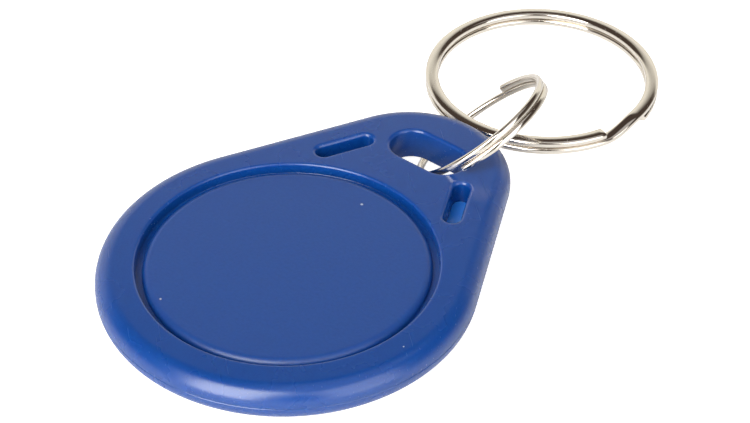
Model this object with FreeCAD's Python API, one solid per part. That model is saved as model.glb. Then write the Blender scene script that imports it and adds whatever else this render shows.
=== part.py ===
import FreeCAD, Part
import math
import os

# Radio key fob: a drop-shaped tag of two welded plastic shells with a coil and chip sealed inside,
# a small split ring through its key slot and a larger split ring threaded on that one.
# Millimetres. The origin is on the flat back face, under the middle of the round face disc.
# X runs across the fob, Y towards the key ring and Z up out of the face.

# Fob body, seen from above
body_radius = 16.0            # round end, so the fob is 32 wide
tip_radius = 8.9              # rounded end at the key slot
tip_offset = 0.3              # the middle of the tip lies this far outside the circle of the round end
body_thickness = 3.1
tip_distance = body_radius + tip_offset
tip_end = tip_distance + tip_radius

# Joint between the two shells, which meet halfway up the side
seam_height = body_thickness / 2
lip_height = 0.55             # lip of the back shell, which the plug of the front shell drops into
lip_width = 0.8
lip_clearance = 0.05
step_height = seam_height - lip_height
face_side_band = 0.05         # straight part of the side above the seam
back_side_band = 0.2          # straight part of the side below the seam
face_edge_round = body_thickness - seam_height - face_side_band
back_edge_round = seam_height - back_side_band

# Round disc on the face, with a groove round it
rim_width = 3.35              # from the groove to the outside of the round end
groove_width = 0.6
groove_depth = 1.0
groove_edge_round = 0.2
groove_radius = body_radius - rim_width
disc_radius = groove_radius - groove_width
disc_drop = 0.36              # the disc lies this far under the rim
disc_edge_round = 0.45

# Key slot through the tip
slot_length = 7.5
slot_width = 4.0
slot_shift = 2.5              # from the middle of the tip to the middle of the slot
slot_edge_round = 0.3
slot_distance = tip_distance + slot_shift

# Two slender pockets beside the slot, open to the face and in line with the straight sides
pocket_length = 5.45
pocket_width = 1.5
pocket_slot_gap = 2.55        # from the end of the slot out to the middle of a pocket
pocket_shift = 1.5            # from the middle of the tip back to the middle of a pocket
pocket_edge_round = 0.18
pocket_side = slot_length / 2 + pocket_slot_gap
pocket_distance = tip_distance - pocket_shift

# Sealed round chamber
chamber_wall = 0.7            # between the chamber and the groove
chamber_floor = 0.7           # thickness of the back under the chamber
chamber_ceiling = 0.65        # thickness of the disc over the chamber
chamber_radius = disc_radius - chamber_wall
chamber_top = body_thickness - disc_drop - chamber_ceiling

# Antenna coil
coil_clearance = 0.85         # all round, to the wall of the chamber
coil_width = 2.0              # of the winding, along the radius
coil_height = 1.0
coil_corner = 0.25
coil_outer_radius = chamber_radius - coil_clearance
coil_inner_radius = coil_outer_radius - coil_width
lead_radius = 0.09
lead_bite = 0.3               # a wire end comes from this deep inside the winding
glue_dot_radius = 0.8
glue_dot_height = 0.45
glue_dot_count = 3

# Chip board inside the coil, on the side of the tip
board_length = 8.4
board_width = 3.2
board_thickness = 0.25
board_coil_gap = 1.34         # from the far corners of the board to the winding
board_reach = math.sqrt((coil_inner_radius - board_coil_gap) ** 2 - (board_length / 2) ** 2)
board_distance = board_reach - board_width / 2
die_size = 1.0
die_thickness = 0.2
pad_width = 1.3
pad_thickness = 0.05
pad_die_gap = 0.6             # from the die to the inner end of a pad
pad_end_margin = 0.3          # from the outer end of a pad to the end of the board
bond_wire_radius = 0.03
bond_foot = 0.15              # from a bond wire's foot to the edge that it lands beside
glob_radius = 1.55
glob_height = 0.7
solder_radius = 0.6
solder_height = 0.36
solder_margin = 0.7           # from the outer end of a pad to the middle of its solder
board_top = chamber_floor + board_thickness
pad_top = board_top + pad_thickness
die_top = board_top + die_thickness
pad_inner_end = die_size / 2 + pad_die_gap
pad_outer_end = board_length / 2 - pad_end_margin
solder_x = pad_outer_end - solder_margin

# Small split ring through the key slot
link_radius = 6.76            # to the middle of the wire
link_wire_width = 0.62        # across the wire, along the ring's radius
link_wire_height = 0.64       # one turn, along the ring's axis
link_corner = 0.24
link_turn_gap = 0.04
link_start_angle = -175.0
link_cross_from_angle = -360.0
link_cross_to_angle = -540.0
link_end_angle = -711.0
link_yaw_angle = -75.3        # heading of the ring's level diameter
link_lean_angle = 42.3        # lean of the ring about that diameter
link_slide = 1.69             # the ring has slid this far to the right in the slot
link_reach = 5.59             # from the middle of the slot out to the middle of the ring
link_lift = 1.71              # the ring's middle lies this far over the middle of the tip's bar
link_centre = (link_slide, slot_distance + link_reach, body_thickness / 2 + link_lift)

# Large split ring for the keys
key_radius = 10.44            # to the middle of the wire
key_wire_width = 1.22
key_wire_height = 0.7
key_corner = 0.32
key_turn_gap = 0.04
key_start_angle = -22.0
key_cross_from_angle = -360.5
key_cross_to_angle = -375.0
key_end_angle = -713.5
key_tilt_angle = 0.6          # the far side of the ring is a little higher
key_side = -0.18              # the ring lies this far off the middle line
key_tip_gap = 0.39            # between the ring and the tip of the fob
key_table_gap = 0.48          # under the near side of the ring, which lies on the link ring
key_near_height = key_table_gap + key_wire_height + key_turn_gap / 2
key_centre = (
    key_side,
    tip_end + key_tip_gap + key_wire_width / 2 + key_radius,
    key_near_height + key_radius * math.sin(math.radians(key_tilt_angle)),
)

# Sections that a crossing from one turn to the other is drawn through
crossing_step_angle = 12.0    # degrees
crossing_least_count = 8

side_angle = math.degrees(math.asin((body_radius - tip_radius) / tip_distance))
tolerance = 0.001
up = FreeCAD.Vector(0, 0, 1)


# Drop outline: the round end and the tip joined by two straight tangent sides
def drop_face(inset, height):
    end = body_radius - inset
    tip = tip_radius - inset
    turn = math.radians(side_angle)
    side_x, side_y = math.cos(turn), math.sin(turn)
    low_right = FreeCAD.Vector(end * side_x, end * side_y, height)
    low_left = FreeCAD.Vector(-end * side_x, end * side_y, height)
    high_right = FreeCAD.Vector(tip * side_x, tip_distance + tip * side_y, height)
    high_left = FreeCAD.Vector(-tip * side_x, tip_distance + tip * side_y, height)
    round_end = Part.Arc(low_left, FreeCAD.Vector(0, -end, height), low_right)
    round_tip = Part.Arc(high_right, FreeCAD.Vector(0, tip_distance + tip, height), high_left)
    edges = [
        round_end.toShape(),
        Part.makeLine(low_right, high_right),
        round_tip.toShape(),
        Part.makeLine(high_left, low_left),
    ]
    return Part.Face(Part.Wire(edges))


def drop_plate(inset, low, high):
    return drop_face(inset, low).extrude(up * (high - low))


# Long hole with fully round ends, turned about its own middle
def long_hole(length, width, centre_x, centre_y, turn, low, high):
    reach = (length - width) / 2
    bar = Part.makeBox(2 * reach, width, high - low, FreeCAD.Vector(-reach, -width / 2, low))
    ends = [
        Part.makeCylinder(width / 2, high - low, FreeCAD.Vector(side * reach, 0, low))
        for side in (-1, 1)
    ]
    hole = bar.fuse(ends).removeSplitter()
    hole.rotate(FreeCAD.Vector(0, 0, 0), up, turn)
    hole.translate(FreeCAD.Vector(centre_x, centre_y, 0))
    return hole


def disc_plate(radius, low, high):
    return Part.makeCylinder(radius, high - low, FreeCAD.Vector(0, 0, low))


# Edges of a solid that lie in one level plane, each with its middle point
def level_edges(solid, height):
    found = []
    for edge in solid.Edges:
        box = edge.BoundBox
        if abs(box.ZMin - height) < tolerance and abs(box.ZMax - height) < tolerance:
            found.append((edge, edge.valueAt((edge.FirstParameter + edge.LastParameter) / 2)))
    return found


# Level edges whose middles lie between two distances from a point
def edges_round(solid, height, centre_x, centre_y, nearest, farthest):
    found = []
    for edge, middle in level_edges(solid, height):
        away = math.hypot(middle.x - centre_x, middle.y - centre_y)
        if nearest - tolerance <= away <= farthest + tolerance:
            found.append(edge)
    return found


# Level edges along the drop outline
def outline_edges(solid, height):
    turn = math.radians(side_angle)
    found = []
    for edge, middle in level_edges(solid, height):
        from_end = math.hypot(middle.x, middle.y) - body_radius
        from_tip = math.hypot(middle.x, middle.y - tip_distance) - tip_radius
        from_side = abs(middle.x) * math.cos(turn) + middle.y * math.sin(turn) - body_radius
        if min(abs(from_end), abs(from_tip), abs(from_side)) < tolerance:
            found.append(edge)
    return found


def key_slot(low, high):
    return long_hole(slot_length, slot_width, 0, slot_distance, 0, low, high)


# Back shell: a flat tray with a raised lip all round and a shallow round chamber
def make_back_shell():
    shell = drop_plate(0, 0, seam_height)
    shell = shell.cut(drop_plate(lip_width, step_height, seam_height))
    shell = shell.cut(disc_plate(chamber_radius, chamber_floor, step_height))
    shell = shell.cut(key_slot(0, seam_height))
    shell = shell.makeFillet(back_edge_round, outline_edges(shell, 0))
    slot_edges = edges_round(shell, 0, 0, slot_distance, 0, slot_length / 2)
    return shell.makeFillet(slot_edge_round, slot_edges)


# Front shell: the face with its disc, groove, pockets and slot, and a plug that drops inside the lip
def make_front_shell():
    shell = drop_plate(0, seam_height, body_thickness)
    shell = shell.fuse(drop_plate(lip_width + lip_clearance, step_height, seam_height)).removeSplitter()
    shell = shell.makeFillet(face_edge_round, outline_edges(shell, body_thickness))
    disc_top = body_thickness - disc_drop
    groove_floor = body_thickness - groove_depth
    recess = disc_plate(groove_radius, groove_floor, body_thickness)
    shell = shell.cut(recess.cut(disc_plate(disc_radius, groove_floor, disc_top)))
    shell = shell.cut(disc_plate(chamber_radius, step_height, chamber_top))
    shell = shell.cut(key_slot(step_height, body_thickness))
    for side in (-1, 1):
        turn = 90 + side * side_angle
        shell = shell.cut(long_hole(
            pocket_length, pocket_width, side * pocket_side, pocket_distance, turn,
            step_height, body_thickness))
    rim_edges = edges_round(shell, body_thickness, 0, 0, groove_radius, groove_radius)
    shell = shell.makeFillet(groove_edge_round, rim_edges)
    disc_edges = edges_round(shell, disc_top, 0, 0, disc_radius, disc_radius)
    shell = shell.makeFillet(disc_edge_round, disc_edges)
    slot_edges = edges_round(shell, body_thickness, 0, slot_distance, 0, slot_length / 2)
    shell = shell.makeFillet(slot_edge_round, slot_edges)
    for side in (-1, 1):
        pocket_edges = edges_round(
            shell, body_thickness, side * pocket_side, pocket_distance, 0, pocket_length / 2)
        shell = shell.makeFillet(pocket_edge_round, pocket_edges)
    return shell


# Rectangle with rounded corners in the XZ plane, about a middle point
def rounded_section(centre_x, centre_z, width, height, corner):
    left, right = centre_x - width / 2, centre_x + width / 2
    low, high = centre_z - height / 2, centre_z + height / 2
    edges = []
    corners = [
        (right - corner, high - corner, 0),
        (left + corner, high - corner, 90),
        (left + corner, low + corner, 180),
        (right - corner, low + corner, 270),
    ]
    points = []
    for corner_x, corner_z, start in corners:
        arc_points = []
        for step in (0, 45, 90):
            angle = math.radians(start + step)
            arc_points.append(FreeCAD.Vector(
                corner_x + corner * math.cos(angle), 0, corner_z + corner * math.sin(angle)))
        points.append(arc_points)
    for index, arc_points in enumerate(points):
        following = points[(index + 1) % len(points)]
        edges.append(Part.Arc(*arc_points).toShape())
        edges.append(Part.makeLine(arc_points[2], following[0]))
    return Part.Wire(edges)


# Wound coil with both wire ends brought inwards to the chip board
def make_antenna_coil(lead_height):
    section = rounded_section(
        coil_inner_radius + coil_width / 2, chamber_floor + coil_height / 2,
        coil_width, coil_height, coil_corner)
    coil = Part.Face(section).revolve(FreeCAD.Vector(0, 0, 0), up, 360)
    wall_x = math.sqrt(coil_inner_radius ** 2 - board_distance ** 2)
    for side in (-1, 1):
        lead = Part.makeCylinder(
            lead_radius, wall_x - solder_x + lead_bite,
            FreeCAD.Vector(side * solder_x, board_distance, lead_height), FreeCAD.Vector(side, 0, 0))
        coil = coil.fuse(lead)
    return coil.removeSplitter()


# Dots of glue that hold the coil to the back shell
def make_coil_glue(coil):
    dots = []
    for index in range(glue_dot_count):
        angle = math.radians(90 + index * 360 / glue_dot_count)
        centre = FreeCAD.Vector(
            coil_outer_radius * math.cos(angle), coil_outer_radius * math.sin(angle), chamber_floor)
        dots.append(dome(centre, glue_dot_radius, glue_dot_height).cut(coil))
    return Part.makeCompound([solid for dot in dots for solid in dot.Solids])


# Cap of a sphere that stands on a level plane
def dome(centre, radius, height):
    ball_radius = (radius ** 2 + height ** 2) / (2 * height)
    ball_centre = centre + up * (height - ball_radius)
    lowest = math.degrees(math.asin((ball_radius - height) / ball_radius))
    return Part.makeSphere(ball_radius, ball_centre, up, lowest, 90, 360)


def centred_block(centre_x, centre_y, low, length, width, height):
    corner = FreeCAD.Vector(centre_x - length / 2, centre_y - width / 2, low)
    return Part.makeBox(length, width, height, corner)


# Fine wire from the top of the die down to a contact pad, in one arc
def make_bond_wire(side):
    on_die = FreeCAD.Vector(side * (die_size / 2 - bond_foot), board_distance, die_top)
    on_pad = FreeCAD.Vector(side * (pad_inner_end + bond_foot), board_distance, pad_top)
    crest = (on_die + on_pad) * 0.5 + up * (die_top - pad_top)
    arc = Part.Arc(on_die, crest, on_pad).toShape()
    start = Part.Wire(Part.makeCircle(bond_wire_radius, on_die, arc.tangentAt(arc.FirstParameter)))
    return Part.Wire(arc).makePipeShell([start], True, False)


# Split ring: a flattened wire wound from an upper turn down to a lower one, clockwise from above
def make_split_ring(radius, width, height, corner, turn_gap, start, cross_from, cross_to, end):
    half_step = (height + turn_gap) / 2

    def section_at(level, angle):
        wire = rounded_section(radius, level, width, height, corner)
        wire.rotate(FreeCAD.Vector(0, 0, 0), up, angle)
        return wire

    def level_turn(level, first, last):
        return Part.Face(section_at(level, first)).revolve(FreeCAD.Vector(0, 0, 0), up, last - first)

    upper = level_turn(half_step, start, cross_from)
    lower = level_turn(-half_step, cross_to, end)
    span = cross_to - cross_from
    steps = max(crossing_least_count, round(abs(span) / crossing_step_angle))
    sections = []
    for index in range(steps + 1):
        share = index / steps
        level = half_step * math.cos(math.pi * share)
        sections.append(section_at(level, cross_from + span * share))
    crossing = Part.makeLoft(sections, True, False)
    return upper.fuse([crossing, lower]).removeSplitter()


def placed(shape, centre, yaw, lean):
    shape.rotate(FreeCAD.Vector(0, 0, 0), FreeCAD.Vector(1, 0, 0), lean)
    shape.rotate(FreeCAD.Vector(0, 0, 0), up, yaw)
    shape.translate(FreeCAD.Vector(*centre))
    return shape


# The transponder: board, pads, die, bond wires, resin drop, coil, solder and glue
def make_transponder():
    parts = {}
    parts["chip_board"] = centred_block(
        0, board_distance, chamber_floor, board_length, board_width, board_thickness)
    parts["chip_die"] = centred_block(0, board_distance, board_top, die_size, die_size, die_thickness)
    pad_x = (pad_inner_end + pad_outer_end) / 2
    sides = {"left": -1, "right": 1}
    for name, side in sides.items():
        pad = centred_block(
            side * pad_x, board_distance, board_top, pad_outer_end - pad_inner_end, pad_width, pad_thickness)
        parts["contact_pad_" + name] = pad
        parts["bond_wire_" + name] = make_bond_wire(side).cut(parts["chip_die"]).cut(pad)

    glob = dome(FreeCAD.Vector(0, board_distance, board_top), glob_radius, glob_height)
    for name in ("chip_die", "bond_wire_left", "bond_wire_right", "contact_pad_left", "contact_pad_right"):
        glob = glob.cut(parts[name])
    parts["glob_top"] = glob

    coil = make_antenna_coil(pad_top + lead_radius)
    parts["antenna_coil"] = coil
    parts["coil_glue"] = make_coil_glue(coil)
    for name, side in sides.items():
        joint = dome(FreeCAD.Vector(side * solder_x, board_distance, pad_top), solder_radius, solder_height)
        parts["solder_joint_" + name] = joint.cut(coil)
    return parts


def make_parts():
    parts = {}
    parts["back_shell"] = make_back_shell()
    parts["front_shell"] = make_front_shell()
    parts.update(make_transponder())
    link_ring = make_split_ring(
        link_radius, link_wire_width, link_wire_height, link_corner, link_turn_gap,
        link_start_angle, link_cross_from_angle, link_cross_to_angle, link_end_angle)
    parts["link_ring"] = placed(link_ring, link_centre, link_yaw_angle, link_lean_angle)
    key_ring = make_split_ring(
        key_radius, key_wire_width, key_wire_height, key_corner, key_turn_gap,
        key_start_angle, key_cross_from_angle, key_cross_to_angle, key_end_angle)
    parts["key_ring"] = placed(key_ring, key_centre, 0, key_tilt_angle)
    return parts


os.makedirs("parts", exist_ok=True)
for name, shape in make_parts().items():
    shape.exportStep("parts/" + name + ".step")
    print(name, len(shape.Solids), "solid", round(shape.Volume, 3), "mm3", shape.isValid())
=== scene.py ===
import bmesh
import bpy
import math
from mathutils import Matrix, Vector


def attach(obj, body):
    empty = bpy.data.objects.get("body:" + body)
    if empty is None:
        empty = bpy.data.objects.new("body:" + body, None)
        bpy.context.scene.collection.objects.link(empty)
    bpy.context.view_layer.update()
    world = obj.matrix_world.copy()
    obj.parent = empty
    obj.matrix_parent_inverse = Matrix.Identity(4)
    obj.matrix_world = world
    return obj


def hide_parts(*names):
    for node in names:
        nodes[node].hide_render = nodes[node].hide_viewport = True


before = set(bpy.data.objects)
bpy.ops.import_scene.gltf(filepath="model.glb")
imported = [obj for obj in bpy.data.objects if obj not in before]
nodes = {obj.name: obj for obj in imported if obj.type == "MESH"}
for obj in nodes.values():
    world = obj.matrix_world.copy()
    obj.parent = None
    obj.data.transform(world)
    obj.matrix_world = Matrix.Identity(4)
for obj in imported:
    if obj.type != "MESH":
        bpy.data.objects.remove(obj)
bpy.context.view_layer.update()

mm = 0.001


# ---- Back shell ---------------------------------------------------------------------------------
# The back half of the tag: a shallow tray injection moulded in blue ABS, with a raised lip all round
# and a round chamber for the coil. The front half drops inside the lip and is welded to it.
body_radius = 16.0 * mm
tip_radius = 8.9 * mm
tip_distance = 16.3 * mm
body_thickness = 3.1 * mm
seam_height = 1.55 * mm
step_height = 1.0 * mm
lip_width = 0.8 * mm
back_edge_round = 1.35 * mm
seam_bevel = 0.05 * mm
flat_margin = 0.08 * mm
chamber_radius = 11.35 * mm
chamber_floor = 0.7 * mm
slot_length = 7.5 * mm
slot_width = 4.0 * mm
slot_distance = 18.8 * mm
slot_edge_round = 0.3 * mm
merge_distance = 0.002 * mm
full_turn = 2 * math.pi
hard_edge = math.radians(28)
up = Vector((0, 0, 1))


def side_normals(centre_a, centre_b, radius_a, radius_b):
    """Outward directions of the straight sides that join two round ends."""
    along = centre_b - centre_a
    turn = math.asin((radius_a - radius_b) / along.length)
    along.normalize()
    right = Vector((along.y, -along.x, 0))
    lean = along * math.sin(turn)
    return right * math.cos(turn) + lean, right * -math.cos(turn) + lean, turn


def draw_section(bm, origin, outward, points):
    """A wall's section as a chain of edges. Each point is (out, height, corner radius, steps)."""
    verts = [bm.verts.new(origin + outward * out + up * height) for out, height, _, _ in points]
    for pair in zip(verts, verts[1:]):
        bm.edges.new(pair)
    for vert, (_, _, radius, steps) in zip(verts, points):
        if radius:
            bmesh.ops.bevel(
                bm, geom=[vert], offset=radius, offset_type="OFFSET", segments=steps, profile=0.5,
                affect="VERTICES", material=-1, clamp_overlap=False)
    return [edge for edge in bm.edges if edge.is_wire]


def carry_round(bm, centre_a, centre_b, radius_a, radius_b, points, steps_a, steps_b):
    """Carries a section round one end, along a side, round the other end and back."""
    right, left, turn = side_normals(centre_a, centre_b, radius_a, radius_b)
    section = draw_section(bm, centre_a, right, points)
    run = centre_b - centre_a
    legs = (
        (centre_a, math.pi + 2 * turn, steps_a, run + left * (radius_b - radius_a)),
        (centre_b, math.pi - 2 * turn, steps_b, right * (radius_a - radius_b) - run),
    )
    for centre, angle, steps, straight in legs:
        verts = list({vert for edge in section for vert in edge.verts})
        spun = bmesh.ops.spin(
            bm, geom=verts + section, cent=centre, axis=up, angle=-angle, steps=steps, use_duplicate=False)
        last = [item for item in spun["geom_last"] if isinstance(item, bmesh.types.BMEdge)]
        carried = bmesh.ops.extrude_edge_only(bm, edges=last)["geom"]
        verts = [item for item in carried if isinstance(item, bmesh.types.BMVert)]
        bmesh.ops.translate(bm, vec=straight, verts=verts)
        moved = set(verts)
        section = [
            item for item in carried
            if isinstance(item, bmesh.types.BMEdge) and item.verts[0] in moved and item.verts[1] in moved]


def turn_section(bm, points, steps):
    """A section turned once round the middle of the disc."""
    section = draw_section(bm, Vector(), Vector((1, 0, 0)), points)
    verts = list({vert for edge in section for vert in edge.verts})
    bmesh.ops.spin(
        bm, geom=verts + section, cent=(0, 0, 0), axis=up, angle=full_turn, steps=steps, use_merge=True)


def fill_level(bm, height):
    """Closes the open loops that lie at one height with a flat face that leaves the holes open."""
    edges = [
        edge for edge in bm.edges
        if edge.is_boundary and all(abs(vert.co.z - height) < merge_distance for vert in edge.verts)]
    bmesh.ops.triangle_fill(bm, use_beauty=True, use_dissolve=False, edges=edges, normal=up)


def shade(bm):
    """Turns the faces outwards and leaves only the hard edges hard."""
    bmesh.ops.recalc_face_normals(bm, faces=bm.faces)
    for face in bm.faces:
        face.smooth = True
    for edge in bm.edges:
        edge.smooth = edge.calc_face_angle(0) < hard_edge


def make_object(bm, name):
    mesh = bpy.data.meshes.new(name)
    bm.to_mesh(mesh)
    bm.free()
    made = bpy.data.objects.new(name, mesh)
    bpy.context.scene.collection.objects.link(made)
    return made


def finish_shell(bm, name, levels, node):
    """Closes the flats of a shell and makes the piece."""
    bmesh.ops.remove_doubles(bm, verts=bm.verts, dist=merge_distance)
    for height in levels:
        fill_level(bm, height)
    shade(bm)
    piece = make_object(bm, name)
    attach(piece, "fob")
    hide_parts(node)
    return piece


end_centre = Vector((0, 0, 0))
tip_centre = Vector((0, tip_distance, 0))
slot_reach = (slot_length - slot_width) / 2
slot_left = Vector((-slot_reach, slot_distance, 0))
slot_right = Vector((slot_reach, slot_distance, 0))
slot_end = slot_width / 2

bm = bmesh.new()
carry_round(bm, end_centre, tip_centre, body_radius, tip_radius, [
    (body_radius - back_edge_round - flat_margin, 0, 0, 0),
    (body_radius, 0, back_edge_round, 16),
    (body_radius, seam_height, seam_bevel, 1),
    (body_radius - lip_width, seam_height, 0, 0),
    (body_radius - lip_width, step_height, 0, 0),
    (body_radius - lip_width - flat_margin, step_height, 0, 0),
], 112, 56)
carry_round(bm, slot_left, slot_right, slot_end, slot_end, [
    (slot_end + slot_edge_round + flat_margin, 0, 0, 0),
    (slot_end, 0, slot_edge_round, 8),
    (slot_end, step_height, 0, 0),
    (slot_end + flat_margin, step_height, 0, 0),
], 24, 24)
turn_section(bm, [
    (chamber_radius + flat_margin, step_height, 0, 0),
    (chamber_radius, step_height, 0, 0),
    (chamber_radius, chamber_floor, 0, 0),
    (chamber_radius - flat_margin, chamber_floor, 0, 0),
], 96)
back_piece = finish_shell(bm, "back_housing", (0, step_height, chamber_floor), "back_shell")


def add_node(tree, kind, feeds, **settings):
    """A node with its settings made and its inputs filled or linked."""
    node = tree.nodes.new(kind)
    for name, value in settings.items():
        setattr(node, name, value)
    for socket, value in feeds.items():
        if isinstance(value, bpy.types.NodeSocket):
            tree.links.new(value, node.inputs[socket])
        else:
            node.inputs[socket].default_value = value
    return node


def object_place(tree):
    return add_node(tree, "ShaderNodeTexCoord", {}).outputs["Object"]


def new_group(name, inputs, outputs):
    """An empty shader group, with its named number inputs and outputs."""
    tree = bpy.data.node_groups.new(name, "ShaderNodeTree")
    for label, value in inputs.items():
        socket = tree.interface.new_socket(label, in_out="INPUT", socket_type="NodeSocketFloat")
        socket.default_value = value
    for label in outputs:
        tree.interface.new_socket(label, in_out="OUTPUT", socket_type="NodeSocketFloat")
    return tree, tree.nodes.new("NodeGroupInput").outputs, tree.nodes.new("NodeGroupOutput").inputs


def new_material(name, roughness, metallic=0.0, coat=0.0):
    material = bpy.data.materials.new(name)
    material.use_nodes = True
    tree = material.node_tree
    shader = tree.nodes["Principled BSDF"]
    shader.inputs["Roughness"].default_value = roughness
    shader.inputs["Metallic"].default_value = metallic
    shader.inputs["Coat Weight"].default_value = coat
    return material, tree, shader


# Fine spark-eroded grain that the mould leaves on plastic, also the dimples of glue and solder
grain, taken, given = new_group("fine_grain", {"Scale": 9000.0, "Detail": 2.0}, ("Height", "Patch"))
place = object_place(grain)
fine = add_node(grain, "ShaderNodeTexNoise", {
    "Vector": place, "Scale": taken["Scale"], "Detail": taken["Detail"], "Roughness": 0.55})
broad = add_node(grain, "ShaderNodeTexNoise", {"Vector": place, "Scale": 260.0, "Detail": 3.0})
grain.links.new(fine.outputs["Fac"], given["Height"])
grain.links.new(broad.outputs["Fac"], given["Patch"])

# Specks of dust and lint: small round spots, of random size, in some cells of a coarse pattern
dust, taken, given = new_group("dust_specks", {"Scale": 420.0, "Size": 0.05}, ("Mask",))
place = object_place(dust)
cells = add_node(dust, "ShaderNodeTexVoronoi", {"Vector": place, "Scale": taken["Scale"]})
chance = add_node(dust, "ShaderNodeSeparateColor", {"Color": cells.outputs["Color"]})
radius = add_node(dust, "ShaderNodeMath", {0: chance.outputs["Red"], 1: 6.0}, operation="POWER")
radius = add_node(dust, "ShaderNodeMath", {0: radius.outputs[0], 1: taken["Size"]}, operation="MULTIPLY")
inside = add_node(dust, "ShaderNodeMath", {
    0: cells.outputs["Distance"], 1: radius.outputs[0]}, operation="LESS_THAN")
dust.links.new(inside.outputs[0], given["Mask"])

# Hairline scratches from keys and pockets: the crests of a noise that is drawn out very long
marks, taken, given = new_group("hair_scratches", {"Turn": 0.6, "Scale": 300.0}, ("Mask",))
place = object_place(marks)
turned = add_node(marks, "ShaderNodeVectorRotate", {
    "Vector": place, "Angle": taken["Turn"]}, rotation_type="Z_AXIS")
drawn = add_node(marks, "ShaderNodeVectorMath", {
    0: turned.outputs[0], 1: (0.7, 24.0, 24.0)}, operation="MULTIPLY")
wisp = add_node(marks, "ShaderNodeTexNoise", {
    "Vector": drawn.outputs[0], "Scale": taken["Scale"], "Detail": 0.0})
crest = add_node(marks, "ShaderNodeMapRange", {
    "Value": wisp.outputs["Fac"], "From Min": 0.78, "From Max": 0.84})
marks.links.new(crest.outputs[0], given["Mask"])


def use_group(tree, group, **numbers):
    node = tree.nodes.new("ShaderNodeGroup")
    node.node_tree = group
    for label, value in numbers.items():
        node.inputs[label].default_value = value
    return node.outputs


def mix_number(tree, share, low, high):
    """A number that goes from low to high as the share does."""
    return add_node(tree, "ShaderNodeMapRange", {"Value": share, "To Min": low, "To Max": high}).outputs[0]


def mix_colour(tree, share, first, second):
    node = add_node(tree, "ShaderNodeMix", {"Factor": share}, data_type="RGBA")
    for socket, value in ((node.inputs[6], first), (node.inputs[7], second)):
        if isinstance(value, bpy.types.NodeSocket):
            tree.links.new(value, socket)
        else:
            socket.default_value = (*value, 1.0)
    return node.outputs[2]


def add_bump(tree, shader, height, distance, strength=1.0):
    bump = add_node(tree, "ShaderNodeBump", {"Height": height, "Distance": distance, "Strength": strength})
    tree.links.new(bump.outputs[0], shader.inputs["Normal"])


def blue_plastic(name, roughness, grain_scale, grain_depth, dark, light):
    """Blue ABS as it leaves a spark-eroded mould, with a little dust and a few hair scratches."""
    material, tree, shader = new_material(name, roughness)
    surface = use_group(tree, grain, Scale=grain_scale, Detail=2.0)
    specks = use_group(tree, dust, Scale=420.0, Size=0.06)["Mask"]
    lines = use_group(tree, marks, Turn=0.7, Scale=260.0)["Mask"]
    blue = mix_colour(tree, surface["Height"], dark, light)
    blue = mix_colour(tree, mix_number(tree, specks, 0.0, 0.75), blue, (0.55, 0.58, 0.62))
    tree.links.new(blue, shader.inputs["Base Color"])
    rough = mix_number(tree, surface["Patch"], roughness - 0.03, roughness + 0.03)
    rough = add_node(tree, "ShaderNodeMath", {
        0: mix_number(tree, lines, 0.0, 0.02), 1: rough}, operation="ADD")
    rough = add_node(tree, "ShaderNodeMath", {
        0: mix_number(tree, specks, 0.0, 0.4), 1: rough.outputs[0]}, operation="ADD")
    tree.links.new(rough.outputs[0], shader.inputs["Roughness"])
    add_bump(tree, shader, surface["Height"], grain_depth)
    shader.inputs["Specular IOR Level"].default_value = 0.75
    shader.inputs["Subsurface Weight"].default_value = 0.35
    shader.inputs["Subsurface Radius"].default_value = (0.3 * mm, 1.1 * mm, 2.0 * mm)
    shader.inputs["Subsurface Scale"].default_value = 1.0
    return material


deep_blue, full_blue = (0.0005, 0.041, 0.21), (0.0035, 0.061, 0.292)
satin_blue = blue_plastic("satin_blue_abs", 0.27, 5200.0, 0.0022 * mm, deep_blue, full_blue)
# A much paler, brighter blue for the pocket floors: painted light, not the plastic's own colour
painted_glow_blue = blue_plastic(
    "painted_glow_blue_floor", 0.3, 5200.0, 0.003 * mm, (0.012, 0.18, 0.68), (0.022, 0.23, 0.8))
back_piece.data.materials.append(satin_blue)
back_piece.data.materials.append(painted_glow_blue)
# The up-facing back at the step height, seen as the pocket floors, takes a paler blue: painted glow,
# standing in for the white table shining through the thin plastic
for polygon in back_piece.data.polygons:
    faces_up = polygon.normal.z > 0.9
    polygon.material_index = int(faces_up and abs(polygon.center.z - step_height) < 0.01 * mm)


# ---- Antenna coil and its glue --------------------------------------------------------------------
# Hundreds of turns of enamelled copper wire, wound flat and baked into one ring. Its two ends lie on
# the chip board, and three dots of milky hot glue hold it in the chamber.
def dress(name, material):
    """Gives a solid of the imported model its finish."""
    mesh = nodes[name].data
    mesh.materials.clear()
    mesh.materials.append(material)


wire_pitch = 0.1 * mm
ring_scale = 1 / (20 * wire_pitch)
copper, tree, shader = new_material("enamelled_copper", 0.3, metallic=1.0, coat=0.6)
place = object_place(tree)
turns = add_node(tree, "ShaderNodeTexWave", {
    "Vector": place, "Scale": ring_scale, "Distortion": 0.2}, wave_type="RINGS", rings_direction="Z")
layers = add_node(tree, "ShaderNodeTexWave", {
    "Vector": place, "Scale": ring_scale, "Distortion": 0.2}, wave_type="BANDS", bands_direction="Z")
wound = add_node(tree, "ShaderNodeMath", {
    0: turns.outputs["Fac"], 1: layers.outputs["Fac"]}, operation="MINIMUM").outputs[0]
tree.links.new(mix_colour(tree, wound, (0.22, 0.06, 0.02), (0.72, 0.27, 0.1)), shader.inputs["Base Color"])
tree.links.new(mix_number(tree, wound, 0.5, 0.28), shader.inputs["Roughness"])
add_bump(tree, shader, wound, 0.03 * mm)
dress("antenna_coil", copper)

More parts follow.
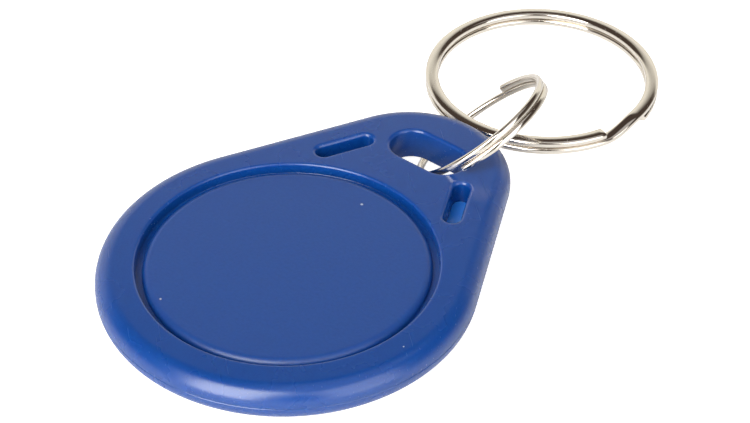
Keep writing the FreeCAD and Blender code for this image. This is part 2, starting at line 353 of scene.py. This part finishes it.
milky, tree, shader = new_material("milky_hot_glue", 0.32)
surface = use_group(tree, grain, Scale=1400.0, Detail=1.0)
tree.links.new(mix_colour(tree, surface["Patch"], (0.7, 0.66, 0.55), (0.86, 0.84, 0.76)),
               shader.inputs["Base Color"])
tree.links.new(mix_number(tree, surface["Height"], 0.22, 0.42), shader.inputs["Roughness"])
add_bump(tree, shader, surface["Height"], 0.02 * mm)
shader.inputs["Subsurface Weight"].default_value = 0.35
shader.inputs["Subsurface Radius"].default_value = (0.6 * mm, 0.5 * mm, 0.35 * mm)
dress("coil_glue", milky)


# ---- Chip board, pads and chip --------------------------------------------------------------------
# A scrap of thin glass-cloth laminate with two gold-flashed copper pads. The bare chip is glued
# between them and wired to the pads with fine aluminium wire, by ultrasonic bonding.
laminate, tree, shader = new_material("green_laminate", 0.42)
place = object_place(tree)
warp = add_node(tree, "ShaderNodeTexWave", {"Vector": place, "Scale": 160.0}, bands_direction="X")
weft = add_node(tree, "ShaderNodeTexWave", {"Vector": place, "Scale": 160.0}, bands_direction="Y")
cloth = add_node(tree, "ShaderNodeMath", {
    0: warp.outputs["Fac"], 1: weft.outputs["Fac"]}, operation="MULTIPLY").outputs[0]
tree.links.new(mix_colour(tree, cloth, (0.02, 0.11, 0.035), (0.05, 0.2, 0.07)), shader.inputs["Base Color"])
tree.links.new(mix_number(tree, cloth, 0.5, 0.36), shader.inputs["Roughness"])
add_bump(tree, shader, cloth, 0.01 * mm)
dress("chip_board", laminate)


def bright_metal(name, dark, light, roughness, scale, depth):
    """A small plated or molten metal surface, with its grain and dull patches."""
    material, tree, shader = new_material(name, roughness, metallic=1.0)
    surface = use_group(tree, grain, Scale=scale, Detail=3.0)
    tree.links.new(mix_colour(tree, surface["Height"], dark, light), shader.inputs["Base Color"])
    tree.links.new(mix_number(tree, surface["Height"], roughness + 0.12, roughness - 0.06),
                   shader.inputs["Roughness"])
    add_bump(tree, shader, surface["Height"], depth)
    return material


gold = bright_metal("gold_flash", (0.62, 0.4, 0.12), (0.9, 0.66, 0.28), 0.26, 5200.0, 0.006 * mm)
dress("contact_pad_left", gold)
dress("contact_pad_right", gold)
aluminium = bright_metal(
    "bonding_aluminium", (0.6, 0.6, 0.61), (0.86, 0.86, 0.87), 0.24, 16000.0, 0.002 * mm)
dress("bond_wire_left", aluminium)
dress("bond_wire_right", aluminium)

silicon, tree, shader = new_material("polished_silicon", 0.16, metallic=0.6)
place = object_place(tree)
blocks = add_node(tree, "ShaderNodeTexVoronoi", {
    "Vector": place, "Scale": 9000.0, "Randomness": 0.35}, distance="CHEBYCHEV")
tint = add_node(tree, "ShaderNodeSeparateColor", {"Color": blocks.outputs["Color"]}).outputs["Red"]
tree.links.new(mix_colour(tree, tint, (0.09, 0.1, 0.13), (0.26, 0.24, 0.3)), shader.inputs["Base Color"])
tree.links.new(mix_number(tree, tint, 0.12, 0.3), shader.inputs["Roughness"])
add_bump(tree, shader, blocks.outputs["Distance"], 0.001 * mm)
dress("chip_die", silicon)


# ---- Resin drop and solder ------------------------------------------------------------------------
# A drop of black epoxy is set over the chip and its wires, and each coil end is soldered to its pad
# with a small cone of bright solder.
resin, tree, shader = new_material("black_resin", 0.2)
surface = use_group(tree, grain, Scale=2600.0, Detail=2.0)
tree.links.new(mix_colour(tree, surface["Patch"], (0.006, 0.006, 0.007), (0.018, 0.018, 0.02)),
               shader.inputs["Base Color"])
tree.links.new(mix_number(tree, surface["Height"], 0.14, 0.3), shader.inputs["Roughness"])
add_bump(tree, shader, surface["Height"], 0.006 * mm)
dress("glob_top", resin)

solder = bright_metal("bright_solder", (0.48, 0.48, 0.5), (0.8, 0.8, 0.81), 0.24, 3600.0, 0.012 * mm)
dress("solder_joint_left", solder)
dress("solder_joint_right", solder)


# ---- Front shell ----------------------------------------------------------------------------------
# The face half of the tag, moulded in the same blue ABS: a sunk disc inside a narrow groove, the key
# slot through the tip and a slender pocket each side of it. Its plug is welded inside the back's lip.
face_edge_round = 1.5 * mm
plug_inset = 0.85 * mm
groove_radius = 12.65 * mm
groove_floor = 2.1 * mm
groove_edge_round = 0.2 * mm
disc_radius = 12.05 * mm
disc_top = 2.74 * mm
disc_edge_round = 0.62 * mm
chamber_top = 2.09 * mm
pocket_length = 5.45 * mm
pocket_width = 1.5 * mm
pocket_side = 6.3 * mm
pocket_distance = 14.8 * mm
pocket_edge_round = 0.32 * mm
groove_corner = 0.06 * mm

bm = bmesh.new()
carry_round(bm, end_centre, tip_centre, body_radius, tip_radius, [
    (body_radius - face_edge_round - flat_margin, body_thickness, 0, 0),
    (body_radius, body_thickness, face_edge_round, 18),
    (body_radius, seam_height, seam_bevel * 0.9, 1),
    (body_radius - plug_inset, seam_height, 0, 0),
    (body_radius - plug_inset, step_height, 0, 0),
    (body_radius - plug_inset - flat_margin, step_height, 0, 0),
], 112, 56)
turn_section(bm, [
    (groove_radius + groove_edge_round + flat_margin, body_thickness, 0, 0),
    (groove_radius, body_thickness, groove_edge_round, 6),
    (groove_radius, groove_floor, groove_corner, 3),
    (disc_radius, groove_floor, groove_corner, 3),
    (disc_radius, disc_top, disc_edge_round, 10),
    (disc_radius - disc_edge_round - flat_margin, disc_top, 0, 0),
], 128)
turn_section(bm, [
    (chamber_radius + flat_margin, step_height, 0, 0),
    (chamber_radius, step_height, 0, 0),
    (chamber_radius, chamber_top, 0, 0),
    (chamber_radius - flat_margin, chamber_top, 0, 0),
], 96)
carry_round(bm, slot_left, slot_right, slot_end, slot_end, [
    (slot_end + slot_edge_round + flat_margin, body_thickness, 0, 0),
    (slot_end, body_thickness, slot_edge_round, 8),
    (slot_end, step_height, 0, 0),
    (slot_end + flat_margin, step_height, 0, 0),
], 24, 24)
pocket_reach = (pocket_length - pocket_width) / 2
pocket_end = pocket_width / 2
_, _, turn = side_normals(end_centre, tip_centre, body_radius, tip_radius)
for side in (-1, 1):
    along_side = Vector((-side * math.sin(turn), math.cos(turn), 0)) * pocket_reach
    middle = Vector((side * pocket_side, pocket_distance, 0))
    carry_round(bm, middle - along_side, middle + along_side, pocket_end, pocket_end, [
        (pocket_end + pocket_edge_round + flat_margin, body_thickness, 0, 0),
        (pocket_end, body_thickness, pocket_edge_round, 6),
        (pocket_end, step_height, 0, 0),
        (pocket_end + flat_margin, step_height, 0, 0),
    ], 16, 16)
front_piece = finish_shell(
    bm, "front_housing", (body_thickness, disc_top, chamber_top, step_height), "front_shell")
frosted_blue = blue_plastic("frosted_blue_disc", 0.4, 3600.0, 0.011 * mm, deep_blue, full_blue)
front_piece.data.materials.append(satin_blue)
front_piece.data.materials.append(frosted_blue)
for polygon in front_piece.data.polygons:
    middle = polygon.center
    on_disc = math.hypot(middle.x, middle.y) < disc_radius
    polygon.material_index = int(on_disc and middle.z > disc_top - disc_edge_round)


# ---- Link ring ------------------------------------------------------------------------------------
# A small split ring through the key slot. Spring steel wire, rolled flat with round edges, is wound
# about one and a half turns, so that it slopes from its upper turn to its lower one, and nickel plated.
def wind_ring(radius, width, height, squareness, gap, start, cross_from, cross_to, end, step):
    """Winds a flattened wire from an upper turn down to a lower one, clockwise from above."""
    bm = bmesh.new()
    along = bm.verts.layers.float.new("along")
    around = bm.verts.layers.float.new("around")
    level = (height + gap) / 2
    bmesh.ops.create_circle(bm, cap_ends=True, radius=1, segments=32)
    for vert in bm.verts:
        vert[around] = math.atan2(vert.co.y, -vert.co.x)
        flat = [math.copysign(abs(share) ** (2 / squareness), share) for share in vert.co.xy]
        vert.co.xy = flat[0] * width / 2, flat[1] * height / 2
    bmesh.ops.rotate(bm, cent=(0, 0, 0), matrix=Matrix.Rotation(math.pi / 2, 3, "X"), verts=bm.verts)
    bmesh.ops.translate(bm, vec=(radius, 0, level), verts=bm.verts)
    bmesh.ops.rotate(bm, cent=(0, 0, 0), matrix=Matrix.Rotation(start, 3, "Z"), verts=bm.verts)

    tail = list(bm.verts) + list(bm.edges) + list(bm.faces)
    legs = ((start, cross_from, step), (cross_from, cross_to, step / 2), (cross_to, end, step))
    wound, height_now = 0.0, level
    for first, last, fine_step in legs:
        count = math.ceil((first - last) / fine_step)
        for index in range(1, count + 1):
            angle = first + (last - first) * index / count
            share = min(max((cross_from - angle) / (cross_from - cross_to), 0), 1)
            height_next = level * (0.6 * math.cos(math.pi * share) + 0.4 * (1 - 2 * share))
            tail = bmesh.ops.spin(
                bm, geom=tail, cent=(0, 0, 0), axis=up, angle=(last - first) / count, steps=1,
                dvec=(0, 0, height_next - height_now))["geom_last"]
            height_now = height_next
            wound += radius * (first - last) / count
            for item in tail:
                if isinstance(item, bmesh.types.BMVert):
                    item[along] = wound

    ends = {edge for face in bm.faces if len(face.verts) > 4 for edge in face.edges}
    bmesh.ops.bevel(
        bm, geom=list(ends), offset=cut_bevel, offset_type="OFFSET", segments=2, profile=0.5,
        affect="EDGES", material=-1, clamp_overlap=True)
    shade(bm)
    return bm


def finish_ring(bm, name, centre, yaw, lean, node):
    """Turns the ring from flat to its place on the object and makes the piece."""
    place = Matrix.Translation(centre) @ Matrix.Rotation(yaw, 4, "Z") @ Matrix.Rotation(lean, 4, "X")
    bmesh.ops.transform(bm, matrix=place, verts=bm.verts)
    piece = make_object(bm, name)
    piece.data.materials.append(nickel)
    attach(piece, node)
    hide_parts(node)


cut_bevel = 0.05 * mm
nickel, tree, shader = new_material("bright_nickel", 0.1, metallic=1.0)
along = add_node(tree, "ShaderNodeAttribute", {}, attribute_name="along").outputs["Fac"]
around = add_node(tree, "ShaderNodeAttribute", {}, attribute_name="around").outputs["Fac"]
surface = use_group(tree, grain, Scale=3000.0, Detail=3.0)
drawn = add_node(tree, "ShaderNodeCombineXYZ", {
    0: add_node(tree, "ShaderNodeMath", {0: along, 1: 160.0}, operation="MULTIPLY").outputs[0],
    1: add_node(tree, "ShaderNodeMath", {0: around, 1: 9.0}, operation="MULTIPLY").outputs[0]})
streaks = add_node(tree, "ShaderNodeTexNoise", {
    "Vector": drawn.outputs[0], "Scale": 1.0, "Detail": 4.0, "Roughness": 0.6}).outputs["Fac"]
scuffs = use_group(tree, marks, Turn=1.1, Scale=420.0)["Mask"]
bare = mix_colour(tree, surface["Patch"], (0.73, 0.68, 0.61), (0.8, 0.76, 0.69))
tree.links.new(mix_colour(tree, mix_number(tree, streaks, 0.0, 0.2), bare, (0.5, 0.43, 0.36)),
               shader.inputs["Base Color"])
rough = add_node(tree, "ShaderNodeMath", {
    0: mix_number(tree, streaks, 0.06, 0.16), 1: mix_number(tree, scuffs, 0.0, 0.2)}, operation="ADD")
tree.links.new(rough.outputs[0], shader.inputs["Roughness"])
height = add_node(tree, "ShaderNodeMath", {
    0: streaks, 1: mix_number(tree, scuffs, 0.0, 0.5)}, operation="SUBTRACT")
add_bump(tree, shader, height.outputs[0], 0.002 * mm)

turn_gap = 0.04 * mm
link_radius, link_wire_width, link_wire_height = 6.76 * mm, 0.62 * mm, 0.64 * mm
link_squareness = 2.6
link_start, link_cross_from = math.radians(-175.0), math.radians(-360.0)
link_cross_to, link_end = math.radians(-540.0), math.radians(-711.0)
link_step = math.radians(4.0)
link_centre = Vector((1.69, 24.39, 3.26)) * mm
link_yaw, link_lean = math.radians(-75.3), math.radians(42.3)
link_ring = wind_ring(
    link_radius, link_wire_width, link_wire_height, link_squareness, turn_gap,
    link_start, link_cross_from, link_cross_to, link_end, link_step)
finish_ring(link_ring, "small_split_ring", link_centre, link_yaw, link_lean, "link_ring")


# ---- Key ring -------------------------------------------------------------------------------------
# The large split ring for the keys, threaded on the small one: two turns of a wider wire, rolled and
# plated in the same way. The turns change level in one short step.
key_radius, key_wire_width, key_wire_height = 10.44 * mm, 1.22 * mm, 0.7 * mm
key_squareness = 2.9
key_start, key_cross_from = math.radians(-22.0), math.radians(-361.0)
key_cross_to, key_end = math.radians(-379.0), math.radians(-713.5)
key_step = math.radians(2.5)
key_centre = Vector((-0.18, 36.64, 1.3093)) * mm
key_yaw, key_lean = 0.0, math.radians(0.6)
key_ring = wind_ring(
    key_radius, key_wire_width, key_wire_height, key_squareness, turn_gap,
    key_start, key_cross_from, key_cross_to, key_end, key_step)
finish_ring(key_ring, "large_split_ring", key_centre, key_yaw, key_lean, "key_ring")


# ---- Table, light and camera ----------------------------------------------------------------------
# A white table that the round end and the small ring rest on, in a dim warm room: a strong soft box to
# the left, a weaker one to the right, a faint one overhead, a pale backdrop behind the rings and pale
# light low down all round.
table_slope = -1.70 / 37.9
table_size = 2.0
rest_distance = 14.6 * mm
table_gap = 0.03 * mm
bm = bmesh.new()
bmesh.ops.create_grid(bm, x_segments=1, y_segments=1, size=table_size)
table_tilt = Matrix.Rotation(math.atan(table_slope), 3, "X")
bmesh.ops.rotate(bm, cent=(0, 0, 0), matrix=table_tilt, verts=bm.verts)
bmesh.ops.translate(bm, vec=(0, 0, rest_distance * table_slope - table_gap), verts=bm.verts)
table = make_object(bm, "white_table")
white_table, tree, shader = new_material("white_table", 0.7)
paper = use_group(tree, grain, Scale=1500.0, Detail=3.0)
tree.links.new(mix_colour(tree, paper["Patch"], (0.83, 0.83, 0.83), (0.86, 0.86, 0.86)),
               shader.inputs["Base Color"])
# The table glows white to the camera and faintly in mirrors and glass, but lights nothing itself
glow_seen, glow_mirrored = 0.85, 0.2
shader.inputs["Emission Color"].default_value = (1.0, 1.0, 1.0, 1.0)
rays = add_node(tree, "ShaderNodeLightPath", {})
seen = add_node(tree, "ShaderNodeMath", {
    0: rays.outputs["Is Glossy Ray"], 1: rays.outputs["Is Transmission Ray"]}, operation="MAXIMUM")
seen = add_node(tree, "ShaderNodeMath", {0: seen.outputs[0], 1: glow_mirrored}, operation="MULTIPLY")
shown = add_node(tree, "ShaderNodeMath", {
    0: rays.outputs["Is Camera Ray"], 1: glow_seen}, operation="MULTIPLY")
shown = add_node(tree, "ShaderNodeMath", {0: shown.outputs[0], 1: seen.outputs[0]}, operation="ADD")
tree.links.new(shown.outputs[0], shader.inputs["Emission Strength"])
table.data.materials.append(white_table)

# Pale light: a backdrop behind the rings, cut off straight at its top and soft at its sides, and a low
# rim all round. The room adds its own dim warm light, and the camera sees plain white.
backdrop_azimuth = math.radians(135.0)
pale_colour, room_colour = (0.98, 0.97, 0.89), (0.075, 0.055, 0.046)
studio = bpy.data.worlds.new("studio")
bpy.context.scene.world = studio
studio.use_nodes = True
tree = studio.node_tree
background = tree.nodes["Background"]
direction = add_node(tree, "ShaderNodeTexCoord", {}).outputs["Generated"]
rise = add_node(tree, "ShaderNodeSeparateXYZ", {"Vector": direction}).outputs["Z"]
low_white = add_node(tree, "ShaderNodeMapRange", {
    "Value": rise, "From Min": 0.1, "From Max": 0.34, "To Min": 0.6, "To Max": 0.0}).outputs[0]
behind = add_node(tree, "ShaderNodeVectorMath", {
    0: direction, 1: (math.cos(backdrop_azimuth), math.sin(backdrop_azimuth), 0.0)},
    operation="DOT_PRODUCT").outputs["Value"]
depth = add_node(tree, "ShaderNodeMath", {0: behind, 1: 0.02}, operation="MAXIMUM").outputs[0]
slant = add_node(tree, "ShaderNodeMath", {0: rise, 1: depth}, operation="DIVIDE").outputs[0]
card = add_node(tree, "ShaderNodeMapRange", {
    "Value": slant, "From Min": 0.68, "From Max": 0.88, "To Min": 1.0, "To Max": 0.0}).outputs[0]
sides = add_node(tree, "ShaderNodeMapRange", {
    "Value": behind, "From Min": 0.45, "From Max": 0.6, "To Min": 0.0, "To Max": 1.0}).outputs[0]
card = add_node(tree, "ShaderNodeMath", {0: card, 1: sides}, operation="MULTIPLY").outputs[0]
pale = add_node(tree, "ShaderNodeMath", {0: card, 1: low_white}, operation="MAXIMUM").outputs[0]
pale_light = add_node(tree, "ShaderNodeVectorMath", {
    0: pale_colour, "Scale": pale}, operation="SCALE").outputs[0]
room = add_node(tree, "ShaderNodeVectorMath", {
    0: pale_light, 1: room_colour}, operation="ADD").outputs[0]
camera_ray = add_node(tree, "ShaderNodeLightPath", {}).outputs["Is Camera Ray"]
tree.links.new(mix_colour(tree, camera_ray, room, (1.0, 1.0, 1.0)), background.inputs["Color"])
background.inputs["Strength"].default_value = 1.0


def soft_box(name, azimuth, elevation, distance, width, height, radiance):
    """A soft box that faces the fob from one side, as bright as its radiance says."""
    lamp = bpy.data.lights.new(name, "AREA")
    lamp.shape = "RECTANGLE"
    lamp.size = width
    lamp.size_y = height
    lamp.energy = radiance * math.pi * width * height
    lamp_object = bpy.data.objects.new(name, lamp)
    bpy.context.scene.collection.objects.link(lamp_object)
    turn, lift = math.radians(azimuth), math.radians(elevation)
    away = Vector((math.cos(turn) * math.cos(lift), math.sin(turn) * math.cos(lift), math.sin(lift)))
    lamp_object.location = away * distance + lit_point
    lamp_object.rotation_euler = away.to_track_quat("Z", "Y").to_euler()


lit_point = Vector((0, 15 * mm, 0))
box_distance = 0.6
soft_box("left_soft_box", -84.0, 35.0, box_distance, 0.37, 0.66, 7.4)
soft_box("right_soft_box", -11.0, 28.0, box_distance, 0.42, 0.62, 2.3)
soft_box("top_soft_box", 30.0, 78.0, box_distance, 0.46, 0.42, 0.5)

camera_data = bpy.data.cameras.new("camera")
camera_data.lens = 88.66
camera_data.sensor_width = 36.0
camera_data.clip_start = 0.01
camera_data.clip_end = 5.0
camera = bpy.data.objects.new("camera", camera_data)
bpy.context.scene.collection.objects.link(camera)
azimuth, elevation, roll = math.radians(39.061), math.radians(39.454), math.radians(0.491)
aim = Vector((-0.664, 12.24, 0.0)) * mm
camera_distance = 162.556 * mm
back = Vector((
    math.sin(azimuth) * math.cos(elevation),
    -math.cos(azimuth) * math.cos(elevation),
    math.sin(elevation)))
level = Vector((math.cos(azimuth), math.sin(azimuth), 0.0))
lift = back.cross(level)
across = level * math.cos(roll) + lift * math.sin(roll)
upward = lift * math.cos(roll) - level * math.sin(roll)
turned = Matrix((across, upward, back)).transposed().to_4x4()
camera.matrix_world = Matrix.Translation(aim + back * camera_distance) @ turned
bpy.context.scene.camera = camera
bpy.context.scene.view_settings.view_transform = "Standard"
